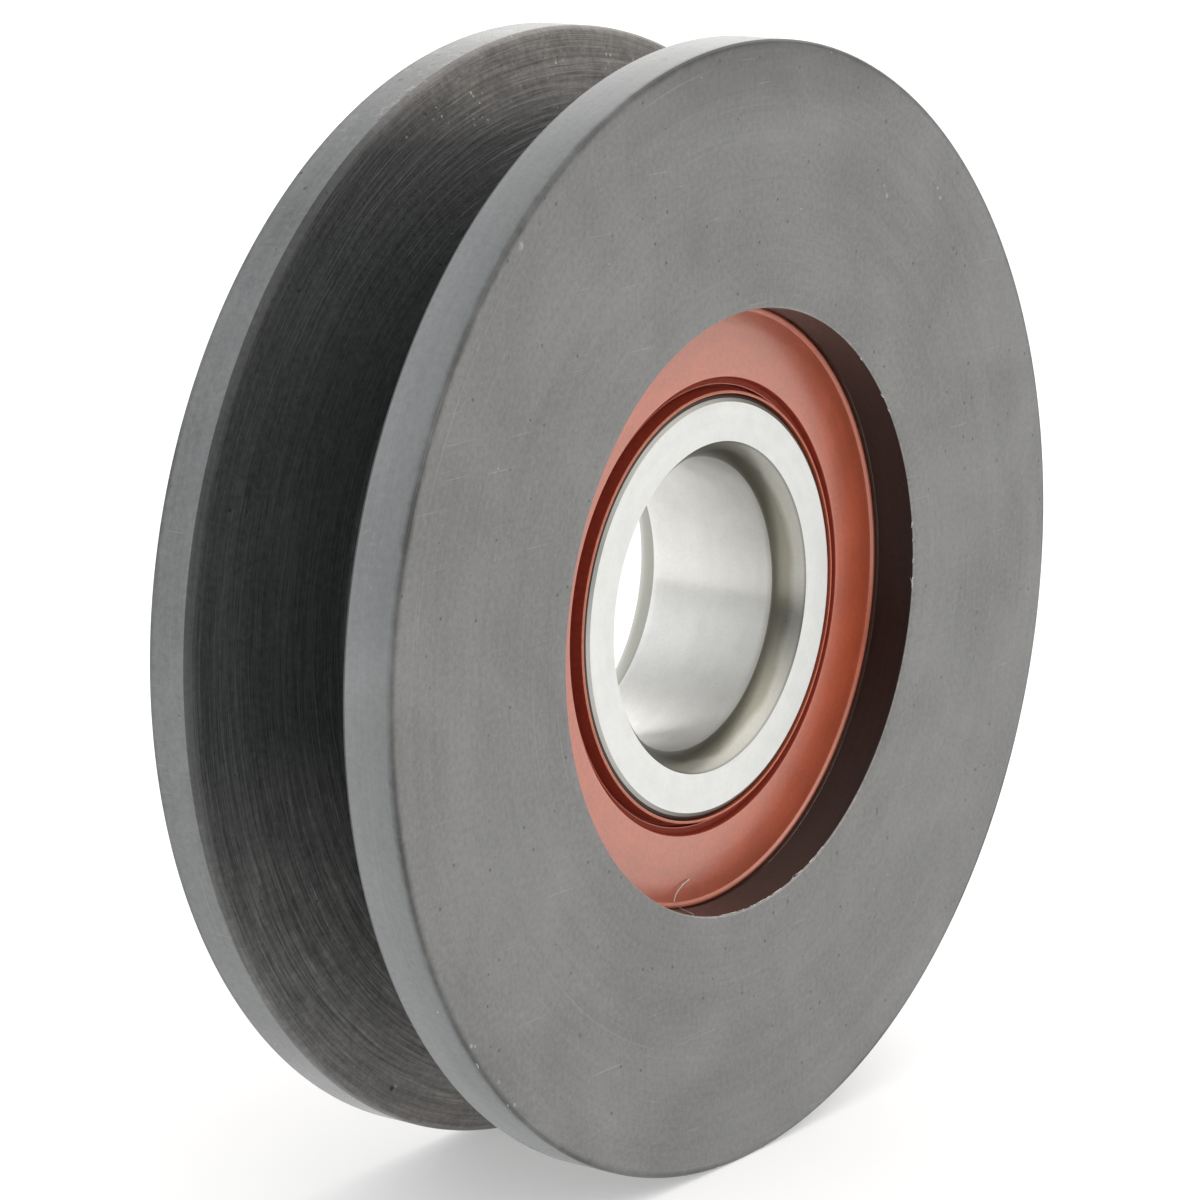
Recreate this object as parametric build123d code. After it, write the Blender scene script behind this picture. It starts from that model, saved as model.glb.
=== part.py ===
"""V-belt tensioner idler: a flanged plastic wheel moulded round a sealed deep groove ball bearing.

Millimetres. The axis of rotation is Y and the front of the wheel faces -Y. The origin is the centre
of the bearing, which is also the centre of the belt groove. Every turned piece is drawn as a closed
outline of (radius, y) points and revolved about Y.
"""
from build123d import *
import math
import os

# ------------------------------------------------------------------ wheel
WHEEL_R = 38.1                 # 76.2 mm (3 in) outside diameter
FRONT_FACE_Y = -10.0
BACK_FACE_Y = 9.5
RIM_CHAMFER = 0.15
RECESS_R = 20.43               # opening of the lip that holds the bearing, both sides
RECESS_CHAMFER = 0.15

GROOVE_MOUTH = 12.3            # belt groove, measured across the rim
GROOVE_R = 26.7                # bottom of the groove
GROOVE_HALF_ANGLE = 17.0       # a 34 degree groove
GROOVE_FRONT_ROUND = 0.25
GROOVE_BACK_ROUND = 0.6
GROOVE_BOTTOM_ROUND = 0.8

# ------------------------------------------------------------------ bearing, 20 x 47 x 14
BORE_R = 10.0
BEARING_R = 23.5
RING_HALF_WIDTH = 7.0
OUTER_RING_ROUND = 1.0
BORE_EDGE_R = 11.26            # where the bore's rounded chamfer meets the ring's face
BORE_EDGE_DEPTH = 2.0          # how far that chamfer runs into the bore
BORE_EDGE_BULGE = 0.42         # share of both at the chamfer's middle; 0.5 would be straight

BALL_COUNT = 8
BALL_R = 3.969                 # 5/16 in balls
PITCH_R = 16.75
RUNNING_GAP = 0.02             # between a ball and the bottom of each raceway
RACE_SECTION_R = 4.13          # 52 percent of the ball's diameter
INNER_SHOULDER_R = 14.4
OUTER_SHOULDER_R = 19.65
INNER_EDGE_CHAMFER = (0.5, 0.3)   # radial, axial

SEAL_SEAT_Y = 5.4              # step in the outer ring that the seal is pressed against
SEAL_GROOVE_R = 21.1           # undercut that holds the seal's bead
SEAL_GROOVE_Y = 6.05           # where the undercut starts to close again
SEAL_MOUTH_R = 20.6            # outer ring's opening in front of the bead
SEAL_MOUTH_Y = 6.4
SEAL_MOUTH_CHAMFER = 0.15

# ------------------------------------------------------------------ ribbon cage
CAGE_INNER_R = 15.1
CAGE_OUTER_R = 18.4
CAGE_SHEET = 0.75
POCKET_GAP = 0.12
RIVET_R = 0.6
RIVET_HEAD_R = 1.05
RIVET_HEAD_H = 0.5

# ------------------------------------------------------------------ seals
INSERT_INNER_R = 15.4          # steel washer inside the rubber
INSERT_OUTER_R = 20.4
INSERT_BACK_Y = 5.6
INSERT_FRONT_Y = 6.0
INSERT_BARE_INNER_R = 15.9     # the washer is bare of rubber between these radii, on the ball side
INSERT_BARE_OUTER_R = 19.9
LIP_GAP = 0.05                 # between the sealing lip and the inner ring
# The rubber's visible side, from the bead inwards: (radius, distance from the bearing's middle).
SEAL_BEAD = [(20.36, 6.7), (20.2, 6.7)]
SEAL_ANNULUS = [(20.1, 6.52), (19.0, 6.58), (17.6, 6.6), (15.5, 6.6)]
SEAL_STEP = [(15.42, 6.14), (14.98, 6.14)]
SEAL_VALLEY = [(14.94, 5.8), (14.78, 5.8)]
SEAL_LIP_RIDGE = (14.64, 6.88)
SEAL_LIP_FRONT_Y = 6.95
SEAL_LIP_BACK_Y = 6.3
SEAL_NECK = [(14.6, 5.8), (14.66, SEAL_SEAT_Y)]
BEAD_ROUND = 0.1
CROWN_ROUND = 6.0
ANNULUS_EDGE_ROUND = 0.12


def turned(outline, rounds=None):
    """Revolve a closed (radius, y) outline about Y. rounds gives a fillet radius to chosen corners."""
    rounds = rounds or {}
    radii = [rounds.get(index, 0) for index in range(len(outline))]
    edge_loop = FilletPolyline(*outline, radius=radii, close=True)
    return revolve(make_face(edge_loop), axis=Axis.Y)


def around_axis(shape, index, count):
    """Turn a shape made at +X to its place among count places round the Y axis."""
    return Rot(Y=-360.0 * index / count) * shape


def make_wheel():
    """V-groove wheel body with a lip over each face of the bearing's outer ring."""
    half_mouth = GROOVE_MOUTH / 2
    half_floor = half_mouth - (WHEEL_R - GROOVE_R) * math.tan(math.radians(GROOVE_HALF_ANGLE))
    outline = [
        (RECESS_R + RECESS_CHAMFER, FRONT_FACE_Y),
        (WHEEL_R - RIM_CHAMFER, FRONT_FACE_Y),
        (WHEEL_R, FRONT_FACE_Y + RIM_CHAMFER),
        (WHEEL_R, -half_mouth),
        (GROOVE_R, -half_floor),
        (GROOVE_R, half_floor),
        (WHEEL_R, half_mouth),
        (WHEEL_R, BACK_FACE_Y - RIM_CHAMFER),
        (WHEEL_R - RIM_CHAMFER, BACK_FACE_Y),
        (RECESS_R + RECESS_CHAMFER, BACK_FACE_Y),
        (RECESS_R, BACK_FACE_Y - RECESS_CHAMFER),
        (RECESS_R, RING_HALF_WIDTH),
        (BEARING_R, RING_HALF_WIDTH),
        (BEARING_R, -RING_HALF_WIDTH),
        (RECESS_R, -RING_HALF_WIDTH),
        (RECESS_R, FRONT_FACE_Y + RECESS_CHAMFER),
    ]
    rounds = {
        3: GROOVE_FRONT_ROUND,
        4: GROOVE_BOTTOM_ROUND,
        5: GROOVE_BOTTOM_ROUND,
        6: GROOVE_BACK_ROUND,
        12: OUTER_RING_ROUND,
        13: OUTER_RING_ROUND,
    }
    return turned(outline, rounds)


def raceway(bottom_r, outward):
    """Ring of round section that cuts a raceway. outward is 1 for the outer ring, -1 for the inner."""
    centre_r = bottom_r - outward * RACE_SECTION_R
    return Rot(X=90) * Torus(centre_r, RACE_SECTION_R)


def make_outer_ring():
    """Outer ring with its raceway and a seal groove at each side."""
    half = [
        (OUTER_SHOULDER_R, SEAL_SEAT_Y),
        (SEAL_GROOVE_R, SEAL_SEAT_Y),
        (SEAL_GROOVE_R, SEAL_GROOVE_Y),
        (SEAL_MOUTH_R, SEAL_MOUTH_Y),
        (SEAL_MOUTH_R, RING_HALF_WIDTH - SEAL_MOUTH_CHAMFER),
        (SEAL_MOUTH_R + SEAL_MOUTH_CHAMFER, RING_HALF_WIDTH),
        (BEARING_R, RING_HALF_WIDTH),
    ]
    mirrored = [(r, -y) for r, y in reversed(half)]
    corner = len(half) - 1
    blank = turned(half + mirrored, {corner: OUTER_RING_ROUND, corner + 1: OUTER_RING_ROUND})
    return blank - raceway(PITCH_R + BALL_R + RUNNING_GAP, 1)


def make_inner_ring():
    """Inner ring with its raceway, the bore's rounded chamfers and softened outer edges."""
    radial, axial = INNER_EDGE_CHAMFER
    blank = turned([
        (BORE_R, -RING_HALF_WIDTH),
        (INNER_SHOULDER_R - radial, -RING_HALF_WIDTH),
        (INNER_SHOULDER_R, axial - RING_HALF_WIDTH),
        (INNER_SHOULDER_R, RING_HALF_WIDTH - axial),
        (INNER_SHOULDER_R - radial, RING_HALF_WIDTH),
        (BORE_R, RING_HALF_WIDTH),
    ])
    ring = blank - raceway(PITCH_R - BALL_R - RUNNING_GAP, -1)
    for side in (-1, 1):
        ring -= bore_edge_cutter(side)
    return ring


def bore_edge_cutter(side):
    """Solid inside the bore's rounded chamfer at one end; side is the sign of y there."""
    face_y = side * RING_HALF_WIDTH
    start = (BORE_R, face_y - side * BORE_EDGE_DEPTH)
    bulge = (BORE_EDGE_R - BORE_R) * BORE_EDGE_BULGE
    middle = (BORE_R + bulge, face_y - side * BORE_EDGE_DEPTH * BORE_EDGE_BULGE)
    end = (BORE_EDGE_R, face_y)
    edge_loop = [
        ThreePointArc(start, middle, end),
        Line(end, (0, face_y)),
        Line((0, face_y), (0, start[1])),
        Line((0, start[1]), start),
    ]
    return revolve(make_face(edge_loop), axis=Axis.Y)


def make_ball():
    """One ball, in the place at +X."""
    return Pos(PITCH_R, 0, 0) * Sphere(BALL_R)


def cage_band(low_y, high_y):
    """Flat ring of the cage's radial width between two heights along the axis."""
    return turned([
        (CAGE_INNER_R, low_y),
        (CAGE_OUTER_R, low_y),
        (CAGE_OUTER_R, high_y),
        (CAGE_INNER_R, high_y),
    ])


def make_cage_half(side):
    """Pressed ribbon with a round pocket for each ball; side is -1 for the front, 1 for the back."""
    pocket_r = BALL_R + POCKET_GAP
    bulge_r = pocket_r + CAGE_SHEET
    low_y, high_y = sorted((0, side * CAGE_SHEET))
    reach_low, reach_high = sorted((0, side * (bulge_r + 1)))
    half = cage_band(low_y, high_y)
    half += cage_band(reach_low, reach_high) & spheres_on_balls(bulge_r)
    half -= spheres_on_balls(pocket_r)
    for index in range(BALL_COUNT):
        half -= around_axis(rivet_blank(RIVET_R, CAGE_SHEET), index + 0.5, BALL_COUNT)
    return half


def spheres_on_balls(radius):
    """A sphere centred on every ball, with its poles along the wheel's axis."""
    sphere = Pos(PITCH_R, 0, 0) * Rot(X=90) * Sphere(radius)
    return Part() + [around_axis(sphere, index, BALL_COUNT) for index in range(BALL_COUNT)]


def rivet_blank(radius, half_length):
    """Plain round shank along the axis direction, in the place at +X."""
    return Pos(PITCH_R, 0, 0) * Rot(X=90) * Cylinder(radius, 2 * half_length)


def make_rivet():
    """Rivet with a domed head at each end, in the place at +X."""
    dome_r = (RIVET_HEAD_R ** 2 + RIVET_HEAD_H ** 2) / (2 * RIVET_HEAD_H)
    rivet = rivet_blank(RIVET_R, CAGE_SHEET)
    for side in (-1, 1):
        ball = Sphere(dome_r)
        disc = Rot(X=90) * Cylinder(RIVET_HEAD_R, RIVET_HEAD_H)
        head = Pos(0, side * (CAGE_SHEET + RIVET_HEAD_H / 2), 0) * disc
        head &= Pos(0, side * (CAGE_SHEET + RIVET_HEAD_H - dome_r), 0) * ball
        rivet += Pos(PITCH_R, 0, 0) * head
    return rivet


def make_seal_insert(side):
    """Steel washer moulded into the seal."""
    return turned([
        (INSERT_INNER_R, side * INSERT_BACK_Y),
        (INSERT_OUTER_R, side * INSERT_BACK_Y),
        (INSERT_OUTER_R, side * INSERT_FRONT_Y),
        (INSERT_INNER_R, side * INSERT_FRONT_Y),
    ])


def make_seal_rubber(side):
    """Rubber of the seal: bead, crowned annulus, stepped valley and sealing lip, round the washer."""
    lip_r = INNER_SHOULDER_R + LIP_GAP
    in_outer_ring = [
        (SEAL_GROOVE_R, SEAL_SEAT_Y),
        (SEAL_GROOVE_R, SEAL_GROOVE_Y),
        (SEAL_MOUTH_R, SEAL_MOUTH_Y),
    ]
    lip = [SEAL_LIP_RIDGE, (lip_r, SEAL_LIP_FRONT_Y), (lip_r, SEAL_LIP_BACK_Y)]
    round_washer = [
        (INSERT_BARE_INNER_R, SEAL_SEAT_Y),
        (INSERT_BARE_INNER_R, INSERT_BACK_Y),
        (INSERT_INNER_R, INSERT_BACK_Y),
        (INSERT_INNER_R, INSERT_FRONT_Y),
        (INSERT_OUTER_R, INSERT_FRONT_Y),
        (INSERT_OUTER_R, INSERT_BACK_Y),
        (INSERT_BARE_OUTER_R, INSERT_BACK_Y),
        (INSERT_BARE_OUTER_R, SEAL_SEAT_Y),
    ]
    face = SEAL_BEAD + SEAL_ANNULUS + SEAL_STEP + SEAL_VALLEY
    outline = in_outer_ring + face + lip + SEAL_NECK + round_washer
    radii = [BEAD_ROUND, BEAD_ROUND, BEAD_ROUND, CROWN_ROUND, CROWN_ROUND, ANNULUS_EDGE_ROUND]
    rounds = {len(in_outer_ring) + index: radius for index, radius in enumerate(radii)}
    return turned([(r, side * y) for r, y in outline], rounds)


def make_nodes():
    """Every sub-part by its node name."""
    nodes = {
        "wheel": make_wheel(),
        "outer_ring": make_outer_ring(),
        "inner_ring": make_inner_ring(),
        "cage_front_half": make_cage_half(-1),
        "cage_back_half": make_cage_half(1),
        "front_seal_insert": make_seal_insert(-1),
        "front_seal_rubber": make_seal_rubber(-1),
        "back_seal_insert": make_seal_insert(1),
        "back_seal_rubber": make_seal_rubber(1),
    }
    for index in range(BALL_COUNT):
        nodes[f"ball_{index + 1}"] = around_axis(make_ball(), index, BALL_COUNT)
    rivets = [around_axis(make_rivet(), index + 0.5, BALL_COUNT) for index in range(BALL_COUNT)]
    nodes["cage_rivets"] = Compound(children=rivets)
    return nodes


os.makedirs("parts", exist_ok=True)
for name, shape in make_nodes().items():
    shape.label = name
    export_step(shape, f"parts/{name}.step")
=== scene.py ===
"""Blender looks for the belt tensioner idler: turned wheel, sealed bearing, studio and camera."""
import math
import random

import bpy
from mathutils import Matrix, Vector, noise


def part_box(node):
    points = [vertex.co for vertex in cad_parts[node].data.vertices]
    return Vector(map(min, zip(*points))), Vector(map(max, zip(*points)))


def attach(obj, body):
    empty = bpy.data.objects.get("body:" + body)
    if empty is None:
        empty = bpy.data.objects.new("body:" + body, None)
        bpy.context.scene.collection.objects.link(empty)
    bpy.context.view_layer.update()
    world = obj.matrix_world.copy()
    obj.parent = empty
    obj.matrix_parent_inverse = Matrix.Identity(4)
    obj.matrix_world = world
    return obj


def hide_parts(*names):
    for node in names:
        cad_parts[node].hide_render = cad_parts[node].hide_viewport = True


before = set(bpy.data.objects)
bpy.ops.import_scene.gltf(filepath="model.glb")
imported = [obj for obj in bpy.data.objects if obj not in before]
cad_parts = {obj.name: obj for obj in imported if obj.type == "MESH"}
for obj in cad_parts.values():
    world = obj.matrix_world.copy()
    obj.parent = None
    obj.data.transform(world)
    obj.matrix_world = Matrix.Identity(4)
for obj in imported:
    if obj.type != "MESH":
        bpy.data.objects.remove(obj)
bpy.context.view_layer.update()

MM = 0.001

# ------------------------------------------------------------------ sizes, in millimetres
AROUND = 340                    # mesh columns round the axis

WHEEL_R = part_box("wheel")[1].x / MM
FRONT_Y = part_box("wheel")[0].y / MM
BACK_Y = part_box("wheel")[1].y / MM
BEARING_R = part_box("outer_ring")[1].x / MM
RING_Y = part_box("inner_ring")[1].y / MM
RECESS_R = 20.43
GROOVE_R = 26.7
GROOVE_HALF_MOUTH = 6.15
GROOVE_WALL_SLOPE = math.tan(math.radians(17.0))
GROOVE_HALF_FLOOR = GROOVE_HALF_MOUTH - (WHEEL_R - GROOVE_R) * GROOVE_WALL_SLOPE
RIM_BREAK = 0.15
RECESS_BREAK = 0.12
GROOVE_WALL_STEP = 0.11

BORE_R = 10.0
BORE_EDGE_R = 11.26
BORE_EDGE_DEPTH = 2.0
BORE_EDGE_BULGE = 0.42
SHOULDER_R = 14.4
RING_CHAMFER_R, RING_CHAMFER_Y = 0.5, 0.3
RACE_BOTTOM_R = 12.761
RACE_SECTION_R = 4.13

# outline of the back seal's rubber: (radius, y, rounding radius, zone, step), as rounded() takes it
SEAL_OUTLINE = [
    (21.1, 5.4, 0, "rubber", 0.4), (21.1, 6.05, 0, "rubber", 0.3), (20.6, 6.4, 0.02, "rubber", 0.2),
    (20.36, 6.7, 0.05, "edge", 0.1), (20.2, 6.7, 0.05, "rubber", 0.1),
    (20.1, 6.52, 0.08, "rubber", 0.2), (19.0, 6.58, 8.0, "rubber", 0.2),
    (17.6, 6.6, 8.0, "rubber", 0.2), (15.5, 6.6, 0.06, "valley", 0.1),
    (15.42, 6.14, 0.04, "valley", 0.1), (15.06, 6.14, 0, "edge", 0.1), (14.98, 6.14, 0.03, "valley", 0.1),
    (14.94, 5.8, 0.03, "valley", 0.1), (14.78, 5.8, 0.03, "valley", 0.15),
    (14.64, 6.88, 0.03, "edge", 0.1), (14.45, 6.95, 0.04, "rubber", 0.15),
    (14.45, 6.3, 0.05, "rubber", 0.2), (14.6, 5.8, 0.1, "rubber", 0.3),
    (14.66, 5.4, 0.02, "rubber", 0.6), (15.9, 5.4, 0, "rubber", 0.3),
    (15.9, 5.6, 0, "rubber", 0.3), (15.4, 5.6, 0, "rubber", 0.3), (15.4, 6.0, 0, "rubber", 1.0),
    (20.4, 6.0, 0, "rubber", 0.3), (20.4, 5.6, 0, "rubber", 0.3), (19.9, 5.6, 0, "rubber", 0.3),
    (19.9, 5.4, 0, "rubber", 0.6),
]

# (radius, degrees round from +X towards +Z, y, size) of voids in the groove's wall
GROOVE_VOIDS = [(36.5, 238.6, 5.66, 0.26), (32.2, 209.4, 4.35, 0.15)]
# (radius, degrees, size) of dents on the front face
FACE_DENTS = [
    (37.95, 131.3, 0.26), (37.6, 134.6, 0.18), (36.9, 128.9, 0.15), (21.6, 283.0, 0.24), (21.9, 300.0, 0.22),
    (35.2, 63.0, 0.24), (33.0, 41.0, 0.20), (30.2, 26.0, 0.22), (27.5, 12.0, 0.18), (29.4, 350.0, 0.22),
    (33.8, 336.0, 0.20), (31.0, 232.0, 0.20), (34.4, 243.0, 0.18), (28.3, 225.0, 0.16), (26.0, 312.0, 0.20),
]
# (radius, degrees, size) of rubbed pale spots on the front face
FACE_RUBS = [
    (37.25, 132.3, 0.34), (34.3, 47.8, 0.22), (34.6, 49.0, 0.16), (30.9, 58.3, 0.20), (31.3, 59.6, 0.14),
    (37.7, 216.0, 0.20), (37.45, 216.5, 0.14), (37.5, 222.4, 0.18), (37.7, 226.2, 0.20),
]
# runs of swarf hairs on the wheel's edges: (from degrees, to degrees, how many, radius, y, reach)
HAIR_RUNS = [
    (262.0, 306.0, 26, 20.40, -9.90, 0.9),
    (-8.0, 9.0, 7, 20.40, -9.90, 0.7),
    (30.0, 70.0, 3, 20.40, -9.90, 0.35),
    (58.0, 78.0, 6, 38.02, -9.93, 0.5),
    (216.0, 232.0, 3, 38.02, -9.93, 0.5),
    (264.0, 282.0, 10, 38.02, -9.93, 0.6),
]
# the one long curled hair, across the seal's edge: (radius, degrees, y)
LONG_HAIR = [
    (18.55, 263.2, -6.7), (18.75, 261.2, -6.75), (19.1, 259.4, -6.8), (19.5, 258.1, -6.85),
    (19.85, 257.3, -7.0), (20.15, 256.9, -7.4), (20.3, 256.5, -8.1), (20.36, 255.6, -8.9),
    (20.4, 254.0, -9.5), (20.41, 251.8, -9.9),
]

# camera: degrees round from the front and up, lens in millimetres, and metres from the middle of the front
# face to the camera, to its left, up and back
CAMERA_AZIMUTH = -53.7875
CAMERA_ELEVATION = 12.4534
CAMERA_LENS = 138.639
CAMERA_LEFT = 0.0099804
CAMERA_UP = 0.000924
CAMERA_BACK = 0.3079061

FLOOR_HALF_SIDE = 3.0           # metres
PANEL_FALLOFF = 4.0             # power of the cosine by which a studio panel fades to its sides


# ------------------------------------------------------------------ outlines and turned meshes
def rounded(corners):
    """Points of a closed outline. A corner is (r, y, rounding radius, zone, step): zone names the stretch
    that follows it and step is the longest distance between that stretch's points."""
    points = []
    count = len(corners)
    cuts = []
    for index, (r, y, radius, zone, step) in enumerate(corners):
        here = Vector((r, y))
        back = (Vector(corners[index - 1][:2]) - here).normalized()
        ahead = (Vector(corners[(index + 1) % count][:2]) - here).normalized()
        half_angle = math.acos(max(-1.0, min(1.0, back.dot(ahead)))) / 2
        if radius <= 0:
            cuts.append([here])
            continue
        reach = radius / math.tan(half_angle)
        centre = here + (back + ahead).normalized() * radius / math.sin(half_angle)
        start = here + back * reach - centre
        end = here + ahead * reach - centre
        turn = start.angle_signed(end)
        parts = max(3, math.ceil(abs(turn) / math.radians(18)))
        arc = []
        for part in range(parts + 1):
            angle = -turn * part / parts
            spun = Vector((
                start.x * math.cos(angle) - start.y * math.sin(angle),
                start.x * math.sin(angle) + start.y * math.cos(angle),
            ))
            arc.append(centre + spun)
        cuts.append(arc)
    for index, (r, y, radius, zone, step) in enumerate(corners):
        points += [(p.x, p.y, zone) for p in cuts[index]]
        start = cuts[index][-1]
        end = cuts[(index + 1) % count][0]
        parts = max(1, math.ceil((end - start).length / step))
        for part in range(1, parts):
            p = start.lerp(end, part / parts)
            points.append((p.x, p.y, zone))
    return points


def arc_points(start, middle, end, parts, zone):
    """Points of the arc through three (r, y) points, without its end."""
    ax, ay = start
    bx, by = middle
    cx, cy = end
    d = 2 * (ax * (by - cy) + bx * (cy - ay) + cx * (ay - by))
    ux = ((ax**2 + ay**2) * (by - cy) + (bx**2 + by**2) * (cy - ay) + (cx**2 + cy**2) * (ay - by)) / d
    uy = ((ax**2 + ay**2) * (cx - bx) + (bx**2 + by**2) * (ax - cx) + (cx**2 + cy**2) * (bx - ax)) / d
    radius = math.hypot(ax - ux, ay - uy)
    first = math.atan2(ay - uy, ax - ux)
    sweep = math.remainder(math.atan2(cy - uy, cx - ux) - first, math.tau)
    angles = [first + sweep * part / parts for part in range(parts)]
    return [(ux + radius * math.cos(a), uy + radius * math.sin(a), zone) for a in angles]


def straight_points(start, end, step, zone):
    """Evenly spaced points from start up to, but not including, end."""
    parts = max(1, math.ceil(math.dist(start, end) / step))
    share = [part / parts for part in range(parts)]
    return [(start[0] + (end[0] - start[0]) * t, start[1] + (end[1] - start[1]) * t, zone) for t in share]


def turned(name, outline, materials, relief=None, sharp_deg=32):
    """Mesh of a closed outline turned round the Y axis. materials maps each zone to its material, and
    relief(zone, r, y, angle) gives how far the surface stands off its outline, along its normal."""
    count = len(outline)
    area = sum(
        outline[k][0] * outline[(k + 1) % count][1] - outline[(k + 1) % count][0] * outline[k][1]
        for k in range(count)
    )
    side = 1 if area > 0 else -1
    zones = list(materials)
    vertices = []
    for k, (r, y, zone) in enumerate(outline):
        before, after = outline[k - 1], outline[(k + 1) % count]
        along = Vector((after[0] - before[0], after[1] - before[1])).normalized()
        normal = Vector((along.y, -along.x)) * side
        for column in range(AROUND):
            angle = math.tau * column / AROUND
            off = relief(zone, r, y, angle) if relief else 0.0
            out_r = r + normal.x * off
            out_y = y + normal.y * off
            vertices.append((out_r * MM * math.cos(angle), out_y * MM, out_r * MM * math.sin(angle)))
    faces = []
    slots = []
    for k in range(count):
        this_ring, next_ring = k * AROUND, (k + 1) % count * AROUND
        for column in range(AROUND):
            beside = (column + 1) % AROUND
            quad = (this_ring + column, next_ring + column, next_ring + beside, this_ring + beside)
            faces.append(quad if side > 0 else quad[::-1])
            slots.append(zones.index(outline[k][2]))
    mesh = bpy.data.meshes.new(name)
    mesh.from_pydata(vertices, [], faces)
    for zone in zones:
        mesh.materials.append(materials[zone])
    mesh.polygons.foreach_set("material_index", slots)
    mesh.shade_smooth()
    mesh.set_sharp_from_angle(angle=math.radians(sharp_deg))
    mesh.validate()
    mesh.update()
    piece = bpy.data.objects.new(name, mesh)
    bpy.context.scene.collection.objects.link(piece)
    return piece


# ------------------------------------------------------------------ materials
class Graph:
    """A Principled material under construction."""

    def __init__(self, name, **sockets):
        self.material = bpy.data.materials.new(name)
        self.material.use_nodes = True
        self.tree = self.material.node_tree
        self.shader = self.tree.nodes["Principled BSDF"]
        for socket, value in sockets.items():
            self.shader.inputs[socket.replace("_", " ")].default_value = value
        self.place = self.add("ShaderNodeTexCoord").outputs["Object"]

    def add(self, kind, *wires, **settings):
        """A node with settings as attributes; wires go to its inputs in order, None leaves one as it is."""
        node = self.tree.nodes.new(kind)
        for key, value in settings.items():
            setattr(node, key, value)
        for socket, wire in zip(node.inputs, wires):
            self.feed(socket, wire)
        return node

    def feed(self, socket, wire):
        if wire is None:
            return
        if isinstance(wire, bpy.types.NodeSocket):
            self.tree.links.new(wire, socket)
        else:
            socket.default_value = wire

    def calc(self, operation, a, b=None, c=None):
        """A Math node's result."""
        return self.add("ShaderNodeMath", a, b, c, operation=operation).outputs[0]

    def to(self, socket, wire):
        self.feed(self.shader.inputs[socket], wire)

    def cylinder(self):
        """Radius from the wheel's axis, then x, y and z."""
        x, y, z = self.add("ShaderNodeSeparateXYZ", self.place).outputs
        square = self.calc("ADD", self.calc("MULTIPLY", x, x), self.calc("MULTIPLY", z, z))
        return self.calc("MAXIMUM", self.calc("SQRT", square), 1e-5), x, y, z

    def polar(self, swirl, radial, axial):
        """A place for textures that draws them out round the axis: swirl features a turn, radial and axial
        features a millimetre."""
        radius, x, y, z = self.cylinder()
        across = self.calc("MULTIPLY", radius, radial / MM)
        across = self.calc("ADD", across, self.calc("MULTIPLY", y, axial / MM))
        cos = self.calc("MULTIPLY", self.calc("DIVIDE", x, radius), swirl)
        sin = self.calc("MULTIPLY", self.calc("DIVIDE", z, radius), swirl)
        return self.add("ShaderNodeCombineXYZ", cos, across, sin).outputs[0]

    def noise(self, scale, detail=3.0, roughness=0.55, place=None, distortion=0.0):
        """Noise of about scale features a millimetre, or a unit of place if one is given."""
        node = self.add("ShaderNodeTexNoise")
        self.feed(node.inputs["Vector"], place or self.place)
        node.inputs["Scale"].default_value = scale if place else scale / MM
        node.inputs["Detail"].default_value = detail
        node.inputs["Roughness"].default_value = roughness
        node.inputs["Distortion"].default_value = distortion
        return node.outputs[0]

    def ramp(self, value, low, high, to_low=0.0, to_high=1.0):
        """value mapped from low..high to to_low..to_high, clamped."""
        return self.add("ShaderNodeMapRange", value, low, high, to_low, to_high).outputs[0]

    def blend(self, share, a, b, mode="MIX"):
        node = self.add("ShaderNodeMix", data_type="RGBA", blend_type=mode, clamp_factor=True)
        self.feed(node.inputs[0], share)
        self.feed(node.inputs[6], (*a, 1.0) if isinstance(a, tuple) else a)
        self.feed(node.inputs[7], (*b, 1.0) if isinstance(b, tuple) else b)
        return node.outputs[2]

    def shade(self, base, *parts):
        """base times one plus, for each (noise, weight), twice the weight times the noise less a half."""
        total = 1.0
        for value, weight in parts:
            change = self.calc("MULTIPLY", self.calc("SUBTRACT", value, 0.5), weight * 2)
            total = self.calc("ADD", total, change)
        return self.calc("MULTIPLY", total, base)

    def scaled(self, tone, factor):
        """A colour times a factor."""
        vector = self.add("ShaderNodeCombineXYZ", *(self.calc("MULTIPLY", factor, c) for c in tone))
        return vector.outputs[0]

    def spots(self, scale, radius, share, seed):
        """0..1 round spots in about this share of cells, scale cells and radius in millimetres."""
        shift = (seed * MM, seed * 2 * MM, -seed * MM)
        shifted = self.add("ShaderNodeVectorMath", self.place, shift).outputs[0]
        cells = self.add("ShaderNodeTexVoronoi")
        self.feed(cells.inputs["Vector"], shifted)
        cells.inputs["Scale"].default_value = scale / MM
        chance = self.add("ShaderNodeSeparateColor", cells.outputs["Color"]).outputs
        reach = self.calc("MULTIPLY", self.ramp(chance[1], 0.0, 1.0, 0.4, 1.0), radius * scale)
        inside = self.calc("DIVIDE", cells.outputs["Distance"], reach)
        chosen = self.calc("LESS_THAN", chance[0], share)
        return self.calc("MULTIPLY", self.ramp(inside, 0.7, 1.15, 1.0, 0.0), chosen)

    def mark(self, radius, degrees, y, size):
        """0..1 round mark of a size in millimetres at one place on the wheel."""
        angle = math.radians(degrees)
        centre = (radius * MM * math.cos(angle), y * MM, radius * MM * math.sin(angle))
        apart = self.add("ShaderNodeVectorMath", self.place, centre, operation="DISTANCE").outputs["Value"]
        return self.ramp(apart, size * 0.45 * MM, size * MM, 1.0, 0.0)

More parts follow.
